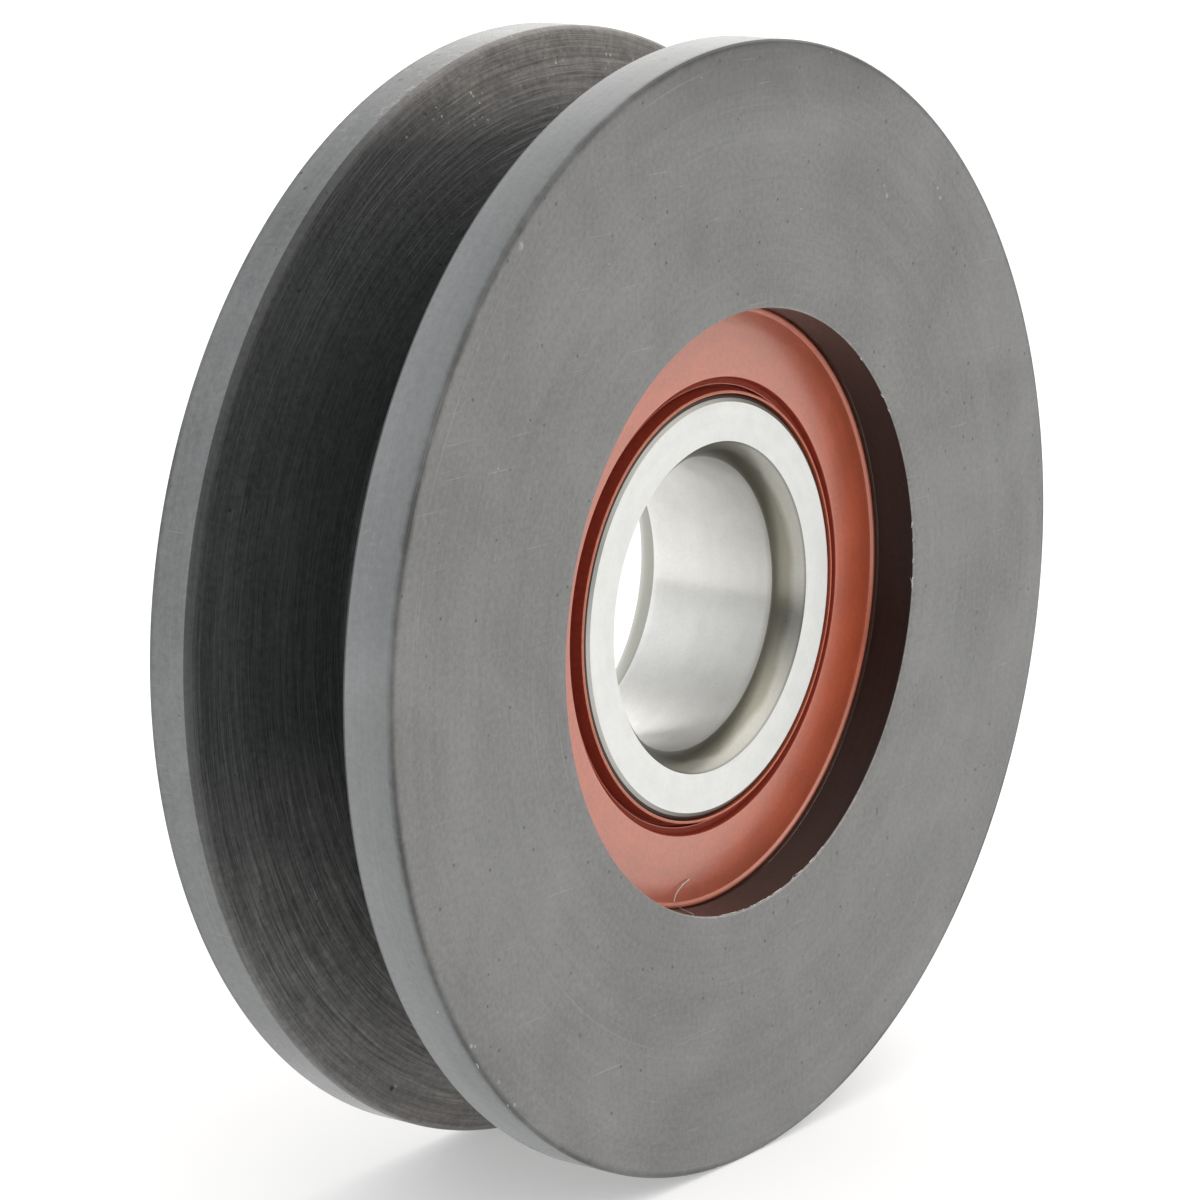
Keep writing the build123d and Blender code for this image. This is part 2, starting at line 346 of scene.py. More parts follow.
    def rim_distance(self):
        """Distance from the nearer of the wheel's two outer edges."""
        radius, x, y, z = self.cylinder()
        inward = self.calc("SUBTRACT", WHEEL_R * MM, radius)
        middle = (FRONT_Y + BACK_Y) / 2 * MM
        from_middle = self.calc("ABSOLUTE", self.calc("SUBTRACT", y, middle))
        sideways = self.calc("SUBTRACT", (BACK_Y - FRONT_Y) / 2 * MM, from_middle)
        inward_square = self.calc("MULTIPLY", inward, inward)
        return self.calc("SQRT", self.calc("ADD", inward_square, self.calc("MULTIPLY", sideways, sideways)))

    def scratches(self, along, across, turn):
        """0..1 short thin straight scratches on the faces, along and across in features a millimetre."""
        marks = None
        for angle in (turn, turn + 1.9):
            node = self.add("ShaderNodeMapping", self.place)
            node.inputs["Rotation"].default_value = (0.0, angle, 0.0)
            node.inputs["Scale"].default_value = (along / MM, along / MM, across / MM)
            lines = self.ramp(self.noise(1.0, 1.0, 0.5, node.outputs[0]), 0.76, 0.83)
            marks = lines if marks is None else self.calc("MAXIMUM", marks, lines)
        return marks

    def bump(self, height, depth_mm, normal=None):
        """Bump from a 0..1 height over depth_mm of relief."""
        node = self.add("ShaderNodeBump")
        node.inputs["Strength"].default_value = 1.0
        node.inputs["Distance"].default_value = depth_mm * MM
        self.feed(node.inputs["Height"], height)
        self.feed(node.inputs["Normal"], normal)
        return node.outputs[0]


def tool_lines(g, factor, z):
    """The groove's ragged tool lines, stronger low down. Returns the varied tone factor and the lines."""
    lines = g.noise(1.0, 2.0, 0.6, g.polar(7.0, 3.6, 3.6))
    lower = g.ramp(z, 12 * MM, -20 * MM, 0.1, 1.0)
    here = g.calc("ADD", 0.5, g.calc("MULTIPLY", g.calc("SUBTRACT", lines, 0.5), lower))
    factor = g.calc("MULTIPLY", factor, g.ramp(here, 0.36, 0.50, 0.74, 1.0))
    factor = g.calc("MULTIPLY", factor, g.ramp(here, 0.55, 0.70, 1.0, 1.4))
    return factor, lines


def painted_edge_shade(g, factor):
    """The tone factor, darker in a soft uneven band of painted shade along the wheel's outer edges."""
    wobble = g.calc("MULTIPLY", g.noise(0.9, 3.0, 0.6), 0.5 * MM)
    from_edge = g.calc("ADD", g.rim_distance(), wobble)
    darkest = g.ramp(g.noise(0.12, 2.0, 0.5), 0.35, 0.65, 0.28, 0.75)
    # painted shade: the soft dark band along the outer edges stands for their dark reflection
    shade = g.ramp(from_edge, 0.35 * MM, 0.75 * MM, darkest, 1.0)
    return g.calc("MULTIPLY", factor, shade)


def groove_dust_and_light(g, colour, factor, z):
    """The groove's colour, lighter low down and at its top and bottom by turning dust mixed with painted
    light, with crumbs at its top, and its voids.
    """
    # turning dust mixed with painted light: lighter in the lower half, and lighter still at the top and
    # bottom
    patchy = g.ramp(g.noise(0.5, 4.0, 0.6), 0.35, 0.62, 0.6, 1.0)
    low_dust_and_light = g.calc("MULTIPLY", g.ramp(z, -4 * MM, -24 * MM), patchy)
    colour = g.blend(low_dust_and_light, colour, g.scaled((0.140, 0.138, 0.134), factor))
    top_dust_and_light = g.calc("MULTIPLY", g.ramp(z, 31.5 * MM, 35.5 * MM), patchy)
    thick_dust_and_light = g.calc("MAXIMUM", top_dust_and_light, g.ramp(z, -25 * MM, -34 * MM))
    colour = g.blend(thick_dust_and_light, colour, g.scaled((0.195, 0.182, 0.171), factor))
    crumbs = g.calc("MULTIPLY", g.spots(2.2, 0.13, 0.45, 4.0), g.ramp(z, 31 * MM, 34 * MM))
    crumbs = g.calc("MULTIPLY", crumbs, g.ramp(g.noise(0.35, 2.0, 0.5), 0.48, 0.58))
    colour = g.blend(g.calc("MULTIPLY", crumbs, 0.7), colour, (0.55, 0.54, 0.50))
    for radius, degrees, y, size in GROOVE_VOIDS:
        colour = g.blend(g.mark(radius, degrees, y, size), colour, (0.004, 0.004, 0.004))
        beside = g.mark(radius - size, degrees + 0.4, y - 0.08, size * 0.55)
        colour = g.blend(g.calc("MULTIPLY", beside, 0.8), colour, (0.42, 0.41, 0.39))
    return colour


def face_marks(g, colour, fine):
    """The front face's colour with its dents and rubbed spots."""
    broken = g.ramp(fine, 0.35, 0.6, 0.2, 0.75)
    for marks, tone in ((FACE_DENTS, (0.03, 0.03, 0.03)), (FACE_RUBS, (0.40, 0.40, 0.38))):
        for radius, degrees, size in marks:
            colour = g.blend(g.calc("MULTIPLY", g.mark(radius, degrees, FRONT_Y, size), broken), colour, tone)
    return colour


def turned_plastic(name, tone, roughness, arcs, grain, mottle, depth, pits=0.35, flecks=0.12, scuffs=0.4,
                   worn_side=None, torn=False, battered=None, marked=False, top_shade=None):
    """Dark filled nylon after turning. tone is its colour; arcs, grain and mottle say how strongly tool
    arcs, fine grain and soft clouds vary it; depth is its relief in millimetres; pits and flecks are the
    shares of cells with a dark pore or a pale fleck, and scuffs is the strength of its scratches. worn_side
    is (y, y, factor) over which handling changes the tone. torn is for the groove, with its ragged tool
    lines and turning dust mixed with painted light; without torn, painted shade darkens the outer edges.
    battered is the height, up and down, past which the surface is pitted and bruised. marked adds the
    front face's marks. Above the height top_shade painted shade darkens the surface a little."""
    g = Graph(name, IOR=1.5)
    arc_lines = g.noise(1.0, 4.0, 0.62, g.polar(2.2, 5.5, 5.5))
    broad_arcs = g.noise(1.0, 2.0, 0.5, g.polar(1.4, 0.9, 0.9))
    fine = g.noise(2.4, 4.0, 0.72)
    clouds = g.noise(0.11, 3.0, 0.5, distortion=0.6)
    factor = g.shade(1.0, (arc_lines, arcs), (broad_arcs, arcs * 0.8), (fine, grain), (clouds, mottle))
    radius, x, y, z = g.cylinder()
    if worn_side:
        start, end, change = worn_side
        factor = g.calc("MULTIPLY", factor, g.ramp(y, start * MM, end * MM, 1.0, change))
    # painted shade: the surface darkens towards the top of the wheel
    if top_shade:
        factor = g.calc("MULTIPLY", factor, g.ramp(z, top_shade * MM, WHEEL_R * MM, 1.0, 0.62))
    if torn:
        factor, lines = tool_lines(g, factor, z)
    else:
        factor = painted_edge_shade(g, factor)

    colour = g.scaled(tone, factor)
    scratch = g.calc("MULTIPLY", g.scratches(0.16, 7.0, 0.9), scuffs)
    pale_arcs = g.ramp(g.noise(1.0, 1.0, 0.5, g.polar(1.8, 6.0, 6.0)), 0.72, 0.80, 0.0, scuffs * 0.6)
    colour = g.blend(g.calc("MAXIMUM", scratch, pale_arcs), colour, tuple(min(1.0, c * 2.1) for c in tone))
    pore = g.spots(0.85, 0.16, pits, 3.0)
    if battered:
        bruised = g.ramp(g.calc("ABSOLUTE", z), battered * MM, (battered + 3) * MM)
        pore = g.calc("MAXIMUM", pore, g.calc("MULTIPLY", g.spots(1.3, 0.26, 0.45, 6.0), bruised))
    colour = g.blend(g.calc("MULTIPLY", pore, 0.75), colour, tuple(c * 0.25 for c in tone))
    if battered:
        scrape = g.ramp(g.noise(1.1, 4.0, 0.75), 0.56, 0.70, 0.0, 0.35)
        colour = g.blend(g.calc("MULTIPLY", scrape, bruised), colour, (0.52, 0.52, 0.50))
    if torn:
        colour = groove_dust_and_light(g, colour, factor, z)
    if marked:
        colour = face_marks(g, colour, fine)
    colour = g.blend(g.spots(0.6, 0.10, flecks, 11.0), colour, (0.50, 0.50, 0.48))
    g.to("Base Color", colour)
    g.to("Roughness", g.shade(roughness, (fine, 0.25), (clouds, -0.2)))

    height = g.calc("ADD", g.calc("MULTIPLY", arc_lines, arcs * 2.0), g.calc("MULTIPLY", fine, 0.6))
    height = g.calc("SUBTRACT", height, g.calc("MULTIPLY", pore, 0.9))
    if torn:
        height = g.calc("ADD", height, g.calc("MULTIPLY", lines, 2.5))
    g.to("Normal", g.bump(height, depth))
    return g.material


def moulded_plastic():
    """The recess wall: smooth near-black skin of the moulding."""
    g = Graph("recess_skin", IOR=1.5)
    swirl = g.noise(1.0, 3.0, 0.6, g.polar(3.0, 3.0, 3.0))
    grain = g.noise(3.0, 3.0, 0.6)
    colour = g.scaled((0.011, 0.0075, 0.0065), g.shade(1.0, (swirl, 0.8), (grain, 0.6)))
    dust = g.spots(1.1, 0.09, 0.10, 5.0)
    colour = g.blend(g.calc("MULTIPLY", dust, 0.35), colour, (0.30, 0.27, 0.25))
    g.to("Base Color", colour)
    g.to("Roughness", g.shade(0.34, (grain, 0.4)))
    g.to("Normal", g.bump(g.calc("ADD", swirl, grain), 0.010))
    return g.material


def ground_steel(name, tone, roughness, along_radius=8.0, along_axis=8.0, depth=0.003, anisotropic=0.0,
                 lines=0.16, grain=0.0, painted_light_ends=None):
    """Bearing steel with fine grinding lines round the axis, along_radius and along_axis lines a
    millimetre. With anisotropic set, reflections are drawn out across those lines. lines and grain say how
    strongly the lines and a fine speckle vary the tone, and depth is the relief in millimetres.
    painted_light_ends is the pair of factors, painted light and shade, that the tone is brought to at the
    front and at the back of the bearing."""
    g = Graph(name, Metallic=1.0, Anisotropic=anisotropic, Anisotropic_Rotation=0.25)
    fine = g.noise(1.0, 3.0, 0.7, g.polar(4.0, along_radius, along_axis))
    broad = g.noise(1.0, 2.0, 0.5, g.polar(1.6, along_radius / 7, along_axis / 7))
    spots = g.noise(0.55, 3.0, 0.6)
    speckle = g.noise(4.5, 3.0, 0.7)
    factor = g.shade(1.0, (fine, lines), (broad, lines * 0.5), (spots, 0.10), (speckle, grain))
    # painted light and shade: the tone darker towards the front of the bearing and brighter towards the back
    if painted_light_ends:
        y = g.cylinder()[2]
        factor = g.calc("MULTIPLY", factor, g.ramp(y, -5 * MM, 5 * MM, *painted_light_ends))
    colour = g.scaled(tone, factor)
    dulled = tuple(c * s for c, s in zip(tone, (0.8, 0.78, 0.72)))
    colour = g.blend(g.ramp(spots, 0.60, 0.78, 0.0, 0.25), colour, dulled)
    speck = g.spots(0.7, 0.09, 0.10, 7.0)
    colour = g.blend(g.calc("MULTIPLY", speck, 0.5), colour, tuple(c * 0.45 for c in tone))
    g.to("Base Color", colour)
    g.to("Roughness", g.shade(roughness, (broad, -0.12), (fine, 0.12), (speckle, grain)))
    mix = g.calc("ADD", g.calc("MULTIPLY", fine, 0.7), g.calc("MULTIPLY", broad, 0.3))
    if grain:
        mix = g.calc("ADD", mix, speckle)
    g.to("Normal", g.bump(mix, depth))
    if anisotropic:
        g.to("Tangent", g.add("ShaderNodeTangent", direction_type="RADIAL", axis="Y").outputs[0])
    return g.material


def bore_edge_painted_light_steel():
    """Rounded bore edges: olive heat tint beside the bore, a painted highlight brighter towards the face, and
    a dark line of painted shade where they meet it. The back edge is painted paler, as lit."""
    g = Graph("bore_edge_steel", Metallic=1.0)
    y = g.cylinder()[2]
    wander = g.calc("SUBTRACT", g.noise(0.35, 1.0, 0.4), 0.5)
    outward = g.calc("ADD", g.calc("ABSOLUTE", y), g.calc("MULTIPLY", wander, 0.7 * MM))
    fine = g.noise(1.0, 3.0, 0.7, g.polar(3.0, 7.0, 7.0))
    speckle = g.noise(4.5, 3.0, 0.7)
    factor = g.shade(1.0, (fine, 0.12), (speckle, 0.12))
    tint = g.scaled((0.245, 0.236, 0.192), factor)
    # painted light: a paler copy of the tint for the back edge
    lit_back_tint = g.scaled((0.33, 0.325, 0.29), factor)
    tint = g.blend(g.ramp(y, -1 * MM, 1 * MM), tint, lit_back_tint)
    # painted highlight: brighter towards the face
    painted_highlight = g.scaled((0.365, 0.36, 0.325), factor)
    colour = g.blend(g.ramp(outward, 6.05 * MM, 6.4 * MM), tint, painted_highlight)
    # painted shade: a dark line where the edge meets the face
    painted_crease_shade = g.ramp(g.calc("ABSOLUTE", y), 6.86 * MM, 6.95 * MM, 0.0, 0.6)
    g.to("Base Color", g.blend(painted_crease_shade, colour, (0.16, 0.16, 0.15)))
    g.to("Roughness", g.shade(0.30, (fine, 0.1), (speckle, 0.15)))
    g.to("Normal", g.bump(fine, 0.001))
    return g.material


WARM_GLOSS = (1.0, 0.80, 0.66, 1.0)     # tint of the rubber's own reflection


def seal_rubber():
    """Terracotta nitrile rubber: satin moulded skin with a faint bloom."""
    g = Graph(
        "seal_rubber", IOR=1.85, Specular_Tint=WARM_GLOSS, Coat_Weight=1.0, Coat_Roughness=0.30, Coat_IOR=1.6
    )
    cloud = g.noise(0.35, 3.0, 0.55)
    grain = g.noise(4.0, 3.0, 0.65)
    flow = g.noise(1.0, 3.0, 0.6, g.polar(5.0, 1.6, 1.6))
    colour = g.scaled((0.455, 0.083, 0.033), g.shade(1.0, (cloud, 0.2), (flow, 0.16), (grain, 0.35)))
    dust = g.calc("MULTIPLY", g.spots(1.3, 0.08, 0.16, 2.0), 0.4)
    colour = g.blend(dust, colour, (0.66, 0.40, 0.30))
    g.to("Base Color", colour)
    g.to("Roughness", g.shade(0.33, (cloud, 0.15), (grain, 0.2)))
    g.to("Normal", g.bump(g.calc("ADD", g.calc("MULTIPLY", grain, 0.5), flow), 0.002))
    return g.material


def seal_valley_shaded_rubber():
    """The same rubber down in the seal's valley: matt, its colour darkened by painted shade."""
    g = Graph("seal_valley_shaded_rubber", IOR=1.25)
    grain = g.noise(3.0, 3.0, 0.65)
    # painted shade: a darker copy of the rubber's colour
    g.to("Base Color", g.scaled((0.28, 0.042, 0.024), g.shade(1.0, (grain, 0.4))))
    g.to("Roughness", g.shade(0.62, (grain, 0.3)))
    g.to("Normal", g.bump(grain, 0.004))
    return g.material


def seal_ridge_highlight_rubber():
    """The thin ridges of the seal, smooth and painted pale as a highlight."""
    g = Graph("seal_ridge_highlight_rubber", IOR=1.7, Specular_Tint=WARM_GLOSS)
    grain = g.noise(3.0, 3.0, 0.65)
    # painted highlight: a paler copy of the rubber's colour along the ridges
    g.to("Base Color", g.scaled((0.50, 0.155, 0.095), g.shade(1.0, (grain, 0.5))))
    g.to("Roughness", g.shade(0.42, (grain, 0.3)))
    g.to("Normal", g.bump(grain, 0.004))
    return g.material


def pressed_steel(name, tone, roughness):
    """Pressed sheet steel with rolling grain and faint oil stains."""
    g = Graph(name, Metallic=1.0)
    grain = g.noise(2.5, 4.0, 0.65)
    stain = g.noise(0.3, 3.0, 0.6)
    colour = g.scaled(tone, g.shade(0.95, (grain, 0.6), (stain, 0.4)))
    oil = g.ramp(stain, 0.5, 0.75, 0.0, 0.5)
    colour = g.blend(oil, colour, tuple(c * s for c, s in zip(tone, (0.75, 0.68, 0.58))))
    g.to("Base Color", colour)
    g.to("Roughness", g.shade(roughness, (grain, 0.5)))
    g.to("Normal", g.bump(grain, 0.006))
    return g.material


def polished_ball_steel():
    """Chrome steel ball with a trace of haze."""
    g = Graph("ball_steel", Metallic=1.0)
    haze = g.noise(0.8, 3.0, 0.6)
    g.to("Base Color", g.scaled((0.75, 0.75, 0.74), g.shade(1.0, (haze, 0.3))))
    g.to("Roughness", g.shade(0.10, (haze, 0.8)))
    g.to("Normal", g.bump(haze, 0.0008))
    return g.material


def lint():
    """Pale swarf hair and burr fibres of the turned plastic."""
    g = Graph("swarf_fibre", IOR=1.5)
    streak = g.noise(1.2, 2.0, 0.5)
    g.to("Base Color", g.scaled((0.56, 0.54, 0.51), g.shade(1.0, (streak, 0.9))))
    g.to("Roughness", g.shade(0.5, (streak, 0.3)))
    return g.material


# ------------------------------------------------------------------ wheel
def wheel_relief(zone, r, y, angle):
    """Torn circular tool marks on the groove's walls, in millimetres, always into the plastic."""
    if zone != "groove":
        return 0.0
    cos, sin = math.cos(angle), math.sin(angle)
    side = 1.0 if y > 0 else -1.0
    depth = min(1.0, max(0.0, (WHEEL_R - r - 0.9) / 1.2))
    coarse = noise.noise(Vector((cos * 2.2, r * 1.3 + side * 20, sin * 2.2)))
    crease = 1.0 - 2.2 * abs(noise.noise(Vector((cos * 4.2, r * 1.9 + side * 50, sin * 4.2))))
    torn = noise.noise(Vector((cos * 7.0, r * 3.6 + side * 70, sin * 7.0)))
    ragged = noise.noise(Vector((cos * 22.0, r * 3.2 + side * 90, sin * 22.0)))
    upper_left = max(0.0, -cos) * max(0.0, sin + 0.2)
    rough_patch = (0.6 + 0.9 * max(0.0, coarse + 0.35)) * (1.0 - 0.9 * min(1.0, 1.6 * upper_left))
    height = 0.012 * coarse + rough_patch * (0.020 * crease + 0.028 * torn + 0.014 * ragged)
    return -depth * max(0.0, 0.085 - height)


def make_wheel():
    face = turned_plastic(
        "turned_face", tone=(0.166, 0.167, 0.163), roughness=0.38, arcs=0.14, grain=0.5, mottle=0.30,
        depth=0.004, marked=True, top_shade=32
    )
    front_rim = turned_plastic(
        "front_rim", tone=(0.172, 0.178, 0.181), roughness=0.24, arcs=0.12, grain=0.25, mottle=0.18,
        depth=0.002, pits=0.08, flecks=0.04, scuffs=0.1, worn_side=(-9.6, -7.0, 1.2), battered=36
    )
    back_rim = turned_plastic(
        "back_rim", tone=(0.156, 0.162, 0.164), roughness=0.24, arcs=0.15, grain=0.4, mottle=0.3,
        depth=0.003, pits=0.2, flecks=0.10, scuffs=0.5, battered=31
    )
    groove = turned_plastic(
        "torn_groove", tone=(0.043, 0.045, 0.046), roughness=0.40, arcs=0.38, grain=0.8, mottle=0.35,
        depth=0.022, pits=0.3, flecks=0.03, scuffs=0.2, torn=True
    )
    lip = turned_plastic(
        "recess_lip", tone=(0.25, 0.25, 0.24), roughness=0.30, arcs=0.1, grain=0.6, mottle=0.3, depth=0.003
    )
    materials = {
        "face": face, "front_rim": front_rim, "back_rim": back_rim, "groove": groove,
        "recess": moulded_plastic(), "lip": lip,
    }
    half_mouth, half_floor = GROOVE_HALF_MOUTH, GROOVE_HALF_FLOOR
    outline = rounded([
        (RECESS_R + RECESS_BREAK, FRONT_Y, 0.05, "face", 0.5),
        (WHEEL_R - RIM_BREAK, FRONT_Y, 0.06, "face", 0.2),
        (WHEEL_R, FRONT_Y + RIM_BREAK, 0.06, "front_rim", 0.45),
        (WHEEL_R, -half_mouth, 0.25, "groove", GROOVE_WALL_STEP),
        (GROOVE_R, -half_floor, 0.8, "groove", 0.22),
        (GROOVE_R, half_floor, 0.8, "groove", GROOVE_WALL_STEP),
        (WHEEL_R, half_mouth, 0.6, "groove", 0.2),
        (WHEEL_R, half_mouth + 0.45, 0, "back_rim", 0.45),
        (WHEEL_R, BACK_Y - RIM_BREAK, 0.06, "face", 0.2),
        (WHEEL_R - RIM_BREAK, BACK_Y, 0.06, "face", 0.5),
        (RECESS_R + RECESS_BREAK, BACK_Y, 0.05, "recess", 0.2),
        (RECESS_R, BACK_Y - RECESS_BREAK, 0.05, "recess", 0.4),
        (RECESS_R, RING_Y, 0.05, "recess", 0.8),
        (BEARING_R, RING_Y, 1.0, "recess", 2.0),
        (BEARING_R, -RING_Y, 1.0, "recess", 0.8),
        (RECESS_R, -RING_Y, 0.05, "recess", 0.4),
        (RECESS_R, FRONT_Y + RECESS_BREAK, 0.05, "lip", 0.2),
    ])
    wheel = turned("wheel_body", outline, materials, wheel_relief)
    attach(wheel, "wheel")
    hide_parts("wheel")
    return wheel


def tube(vertices, faces, path, thickness):
    """Add a thin tapering tube along a path to a mesh's lists."""
    sides = 5
    last = len(path) - 1
    first = len(vertices)
    for index, point in enumerate(path):
        ahead = (path[min(index + 1, last)] - path[max(index - 1, 0)]).normalized()
        side = ahead.cross(Vector((0.31, 0.83, 0.46))).normalized()
        other = ahead.cross(side)
        half = thickness / 2 * (1.0 - 0.6 * index / last)
        for corner in range(sides):
            angle = math.tau * corner / sides
            vertices.append((point + (side * math.cos(angle) + other * math.sin(angle)) * half) * MM)
    for ring in range(first, first + last * sides, sides):
        for corner in range(sides):
            beside = (corner + 1) % sides
            faces.append((ring + corner, ring + beside, ring + sides + beside, ring + sides + corner))
    faces.append(tuple(range(first + sides - 1, first - 1, -1)))
    faces.append(tuple(range(first + last * sides, first + last * sides + sides)))


def on_wheel(radius, degrees, y):
    angle = math.radians(degrees)
    return Vector((radius * math.cos(angle), y, radius * math.sin(angle)))


def make_hairs():
    """Pale swarf hairs and torn fibres that cling to the wheel's turned edges."""
    vertices, faces = [], []
    tube(vertices, faces, [on_wheel(*point) for point in LONG_HAIR], 0.09)
    for start, end, count, radius, y, reach in HAIR_RUNS:
        for _ in range(count):
            degrees = random.uniform(start, end)
            length = random.uniform(0.4, 1.0) * reach
            turn = random.choice((-1, 1)) * math.degrees(length / radius)
            spread = random.uniform(0.05, 0.45) * length * 0.35
            sink = random.uniform(0.05, 0.4) * length
            path = []
            for step in range(6):
                share = step / 5
                bend = share * share
                path.append(on_wheel(radius + spread * bend, degrees + turn * share, y + sink * bend))
            tube(vertices, faces, path, random.uniform(0.05, 0.10))
    mesh = bpy.data.meshes.new("swarf_hairs")
    mesh.from_pydata(vertices, [], faces)
    mesh.materials.append(lint())
    mesh.shade_smooth()
    mesh.validate()
    hairs = bpy.data.objects.new("swarf_hairs", mesh)
    bpy.context.scene.collection.objects.link(hairs)
    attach(hairs, "wheel")
    return hairs


# ------------------------------------------------------------------ bearing
def make_inner_ring():
    """Inner ring with ground faces and bore, rounded bore edges and the raceway."""
    materials = {
        "face": ground_steel(
            "ring_face_steel", (0.705, 0.715, 0.695), roughness=0.38, along_radius=14.0, along_axis=0.5,
            depth=0.0015, lines=0.05, grain=0.07
        ),
        "bore": ground_steel(
            "bore_steel", (0.725, 0.72, 0.695), roughness=0.30, along_radius=0.5, along_axis=12.0,
            depth=0.0006, anisotropic=0.75, lines=0.05, grain=0.10, painted_light_ends=(0.73, 1.07)
        ),
        "edge": bore_edge_painted_light_steel(),
        # painted shade: the chamfer darker than the face, and the land beside it near black as the shadow
        # between seal lip and ring
        "chamfer": ground_steel("ring_chamfer_shaded_steel", (0.42, 0.415, 0.39), roughness=0.40),
        "rim": ground_steel("ring_rim_painted_shadow_steel", (0.075, 0.055, 0.048), roughness=0.40),
        "race": ground_steel(
            "race_steel", (0.76, 0.76, 0.74), roughness=0.16, along_radius=10.0, along_axis=10.0, depth=0.0015
        ),
    }
    bulge = (BORE_EDGE_R - BORE_R) * BORE_EDGE_BULGE
    race_centre = RACE_BOTTOM_R + RACE_SECTION_R
    race_y = math.sqrt(RACE_SECTION_R**2 - (race_centre - SHOULDER_R) ** 2)
    outline = []
    for side in (-1, 1):
        bore_end = (BORE_R, side * (RING_Y - BORE_EDGE_DEPTH))
        bulge_at = (BORE_R + bulge, side * (RING_Y - BORE_EDGE_DEPTH * BORE_EDGE_BULGE))
        face_in = (BORE_EDGE_R, side * RING_Y)
        face_out = (SHOULDER_R - RING_CHAMFER_R, side * RING_Y)
        half_way = (SHOULDER_R - RING_CHAMFER_R / 2, side * (RING_Y - RING_CHAMFER_Y / 2))
        land_end = (SHOULDER_R, side * (RING_Y - RING_CHAMFER_Y))
        race_end = (SHOULDER_R, side * race_y)
        if side < 0:
            outline += arc_points(bore_end, bulge_at, face_in, 10, "edge")
            outline += straight_points(face_in, face_out, 0.3, "face")
            outline += straight_points(face_out, half_way, 0.15, "chamfer")
            outline += straight_points(half_way, land_end, 0.15, "rim")
            outline += straight_points(land_end, race_end, 0.6, "rim")
            bottom = (RACE_BOTTOM_R, 0.0)
            outline += arc_points(race_end, bottom, (SHOULDER_R, race_y), 24, "race")
        else:
            outline += straight_points(race_end, land_end, 0.6, "rim")
            outline += straight_points(land_end, half_way, 0.15, "rim")
            outline += straight_points(half_way, face_out, 0.15, "chamfer")
            outline += straight_points(face_out, face_in, 0.3, "face")
            outline += arc_points(face_in, bulge_at, bore_end, 10, "edge")
            outline += straight_points(bore_end, (BORE_R, BORE_EDGE_DEPTH - RING_Y), 0.5, "bore")
    ring = turned("inner_race", outline, materials, sharp_deg=24)
    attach(ring, "inner_race")
    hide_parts("inner_ring")
    return ring


def make_seal(name, node, side, materials):
    """Rubber of one seal; side is -1 at the front."""
    flipped = [(r, side * y, radius, zone, step) for r, y, radius, zone, step in SEAL_OUTLINE]
    seal = turned(name, rounded(flipped), materials)
    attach(seal, "wheel")
    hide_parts(node)
    return seal


def dress_cad_nodes():
    """Better materials on the CAD pieces that are carried over."""
    finishes = {
        "outer_ring": ground_steel("outer_ring_steel", (0.30, 0.27, 0.25), roughness=0.35),
        "cage": pressed_steel("cage_sheet", (0.56, 0.55, 0.53), 0.32),
        "insert": pressed_steel("insert_sheet", (0.50, 0.50, 0.49), 0.38),
        "ball": polished_ball_steel(),
    }
    for node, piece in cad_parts.items():
        for word, material in finishes.items():
            if word in node:
                for slot in piece.material_slots:
                    slot.material = material


# ------------------------------------------------------------------ studio
def make_camera():
    """Camera at the front left, 12.5 degrees up, aimed a little beside the centre of the front face."""
    azimuth, elevation = math.radians(CAMERA_AZIMUTH), math.radians(CAMERA_ELEVATION)
    level = Vector((-math.sin(azimuth), math.cos(azimuth), 0.0))
    ahead = level * math.cos(elevation) - Vector((0, 0, math.sin(elevation)))
    right = ahead.cross(Vector((0, 0, 1))).normalized()
    up = right.cross(ahead)
    face_centre = Vector((0.0, FRONT_Y * MM, 0.0))
    data = bpy.data.cameras.new("camera")
    data.sensor_width = 36.0
    data.lens = CAMERA_LENS
    data.clip_start = 0.01
    data.clip_end = 20.0
    camera = bpy.data.objects.new("camera", data)
    camera.location = face_centre - right * CAMERA_LEFT + up * CAMERA_UP - ahead * CAMERA_BACK
    camera.rotation_mode = "QUATERNION"
    camera.rotation_quaternion = Matrix((right, up, -ahead)).transposed().to_quaternion()
    bpy.context.scene.collection.objects.link(camera)
    bpy.context.scene.camera = camera
    return camera


def make_floor():
    """Plain pale floor that the wheel stands on."""
    half = FLOOR_HALF_SIDE
    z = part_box("wheel")[0].z
    corners = [(-half, -half, z), (half, -half, z), (half, half, z), (-half, half, z)]
    mesh = bpy.data.meshes.new("floor")
    mesh.from_pydata(corners, [], [(0, 1, 2, 3)])
    floor = bpy.data.objects.new("floor", mesh)
    g = Graph("floor_paper", IOR=1.3)
    paper = g.noise(0.02, 3.0, 0.5)
    g.to("Base Color", g.blend(g.ramp(paper, 0.3, 0.7), (0.70, 0.70, 0.70), (0.72, 0.72, 0.72)))
    g.to("Roughness", 0.9)
    g.to("Emission Color", (1.0, 1.0, 1.0, 1.0))
    g.to("Emission Strength", 0.34)
    mesh.materials.append(g.material)
    bpy.context.scene.collection.objects.link(floor)
    return floor


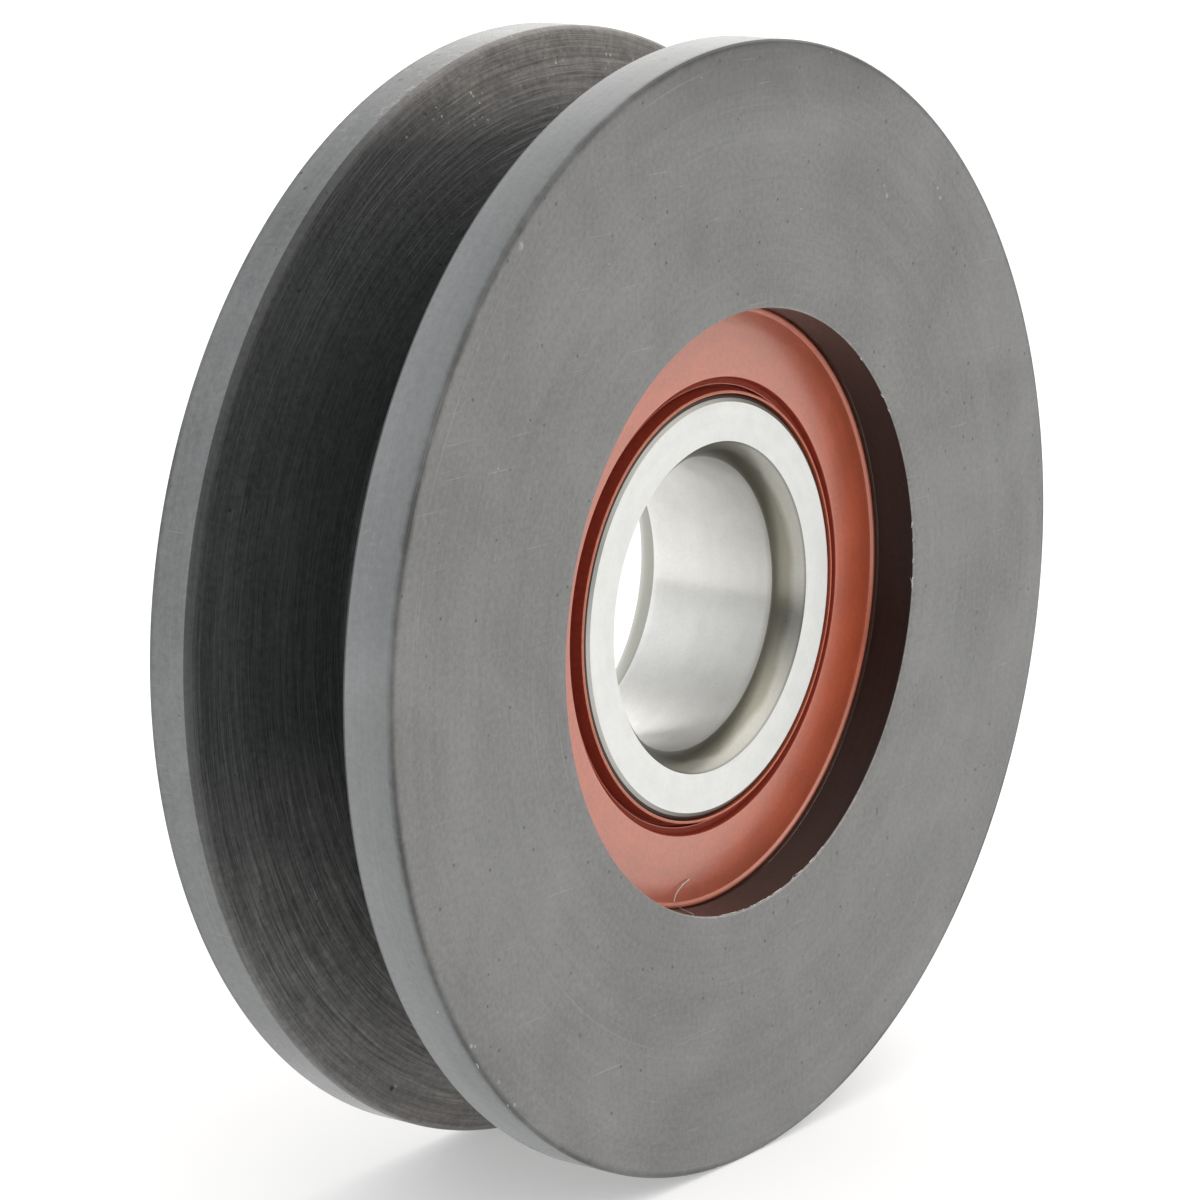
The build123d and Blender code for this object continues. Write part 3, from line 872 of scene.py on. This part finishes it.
def make_studio():
    """Light tent: a dark room with broad soft panels, each (azimuth, elevation, red, green, blue). Azimuth 0
    is in front of the wheel and 90 at its right."""
    panels = [
        (-150, 12, 0.86, 0.87, 0.87),
        (95, 12, 0.24, 0.22, 0.20),
        (140, 12, 0.74, 0.74, 0.72),
        (180, 12, 0.38, 0.39, 0.41),
        (-90, 50, 0.67, 0.68, 0.69),
        (0, 50, 1.58, 1.55, 1.52),
        (90, 50, 1.26, 1.22, 1.18),
        (0, 90, 0.16, 0.16, 0.16),
        (126, 14, 0.50, 0.50, 0.50),
        (60, 18, 0.28, 0.28, 0.27),
        (-122, 6, 0.22, 0.22, 0.22),
    ]
    world = bpy.data.worlds.new("studio")
    world.use_nodes = True
    tree = world.node_tree
    background = tree.nodes["Background"]
    direction = tree.nodes.new("ShaderNodeTexCoord").outputs["Generated"]
    total = None
    for azimuth, elevation, *colour in panels:
        a, e = math.radians(azimuth), math.radians(elevation)
        dot = tree.nodes.new("ShaderNodeVectorMath")
        dot.operation = "DOT_PRODUCT"
        dot.inputs[1].default_value = (math.sin(a) * math.cos(e), -math.cos(a) * math.cos(e), math.sin(e))
        tree.links.new(direction, dot.inputs[0])
        front = tree.nodes.new("ShaderNodeMath")
        front.operation = "MAXIMUM"
        front.inputs[1].default_value = 0.0
        tree.links.new(dot.outputs["Value"], front.inputs[0])
        spread = tree.nodes.new("ShaderNodeMath")
        spread.operation = "POWER"
        spread.inputs[1].default_value = PANEL_FALLOFF
        tree.links.new(front.outputs[0], spread.inputs[0])
        lit = tree.nodes.new("ShaderNodeVectorMath")
        lit.operation = "MULTIPLY_ADD"
        lit.inputs[1].default_value = colour
        lit.inputs[2].default_value = (0.0, 0.0, 0.0)
        tree.links.new(spread.outputs[0], lit.inputs[0])
        if total:
            tree.links.new(total, lit.inputs[2])
        total = lit.outputs[0]
    tree.links.new(total, background.inputs["Color"])
    bpy.context.scene.world = world
    bpy.context.scene.view_settings.view_transform = "Standard"


# ------------------------------------------------------------------ scene
random.seed(7)
make_camera()
make_floor()
make_studio()
make_wheel()
make_hairs()
make_inner_ring()
rubbers = {"rubber": seal_rubber(), "valley": seal_valley_shaded_rubber(), "edge": seal_ridge_highlight_rubber()}
make_seal("front_seal", "front_seal_rubber", -1, rubbers)
make_seal("back_seal", "back_seal_rubber", 1, rubbers)
dress_cad_nodes()
